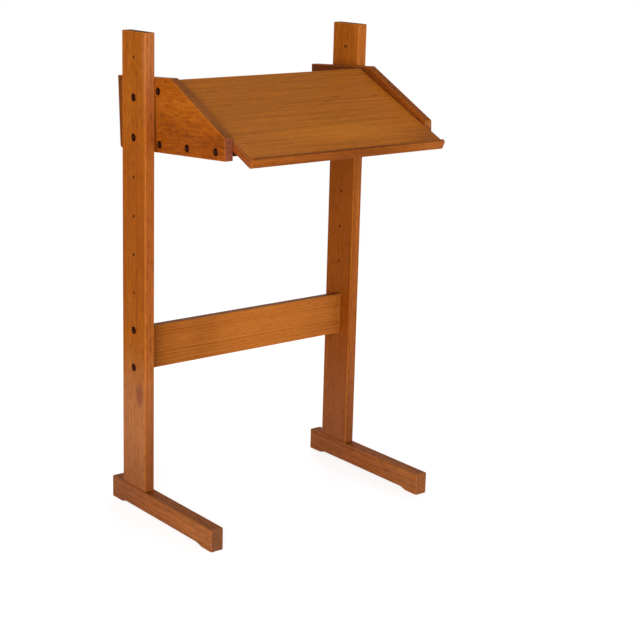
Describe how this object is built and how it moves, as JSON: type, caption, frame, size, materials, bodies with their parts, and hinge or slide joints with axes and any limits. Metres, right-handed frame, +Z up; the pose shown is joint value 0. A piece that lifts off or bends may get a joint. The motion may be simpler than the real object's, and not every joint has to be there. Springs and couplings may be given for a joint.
{
  "type": "standing desk",
  "caption": "Tall teak standing desk: posts on long feet, a stretcher and a tilted wedge-shaped desk box whose sloping writing lid lifts on hinges.",
  "frame": {"origin": "on the floor, under the middle of the whole desk", "axes": "+X to the user's right, +Y to the back of the desk, +Z up"},
  "size_m": [0.718, 0.5481, 1.248],
  "materials": {
    "post_teak": "oiled satin",
    "foot_teak": "oiled satin",
    "stretcher_teak": "oiled satin",
    "panel_teak": "oiled satin",
    "box_teak": "oiled satin",
    "lid_veneer": "oiled satin",
    "lid_solid_teak": "oiled satin",
    "bronzed_steel": "dark bronzed",
    "hinge_brass": "satin"
  },
  "bodies": {
    "stand": {"left_post": "post_teak", "right_post": "post_teak", "left_foot": "foot_teak", "right_foot": "foot_teak", "stretcher": "stretcher_teak", "stretcher_screws": "bronzed_steel", "desk_bolts": "bronzed_steel", "desk_bolt_inserts": "hinge_brass", "left_side_panel": "panel_teak", "right_side_panel": "panel_teak", "side_panel_screws": "bronzed_steel", "bottom_board": "box_teak", "back_board": "box_teak", "left_hinge_fixed_leaf": "hinge_brass", "right_hinge_fixed_leaf": "hinge_brass", "left_hinge_pin": "hinge_brass", "right_hinge_pin": "hinge_brass", "hinge_fixed_screws": "hinge_brass"},
    "lid": {"lid_board": "lid_veneer", "lid_left_lipping": "lid_solid_teak", "lid_right_lipping": "lid_solid_teak", "lid_front_lip": "lid_solid_teak", "left_hinge_lid_leaf": "hinge_brass", "right_hinge_lid_leaf": "hinge_brass", "hinge_lid_screws": "hinge_brass"}
  },
  "joints": [
    {"name": "lid_hinge", "type": "hinge", "parent": "stand", "child": "lid", "pos_m": [0, 0.06997, 1.11454], "axis": [-1, 0, 0], "range_deg": [0, 118]}
  ]
}
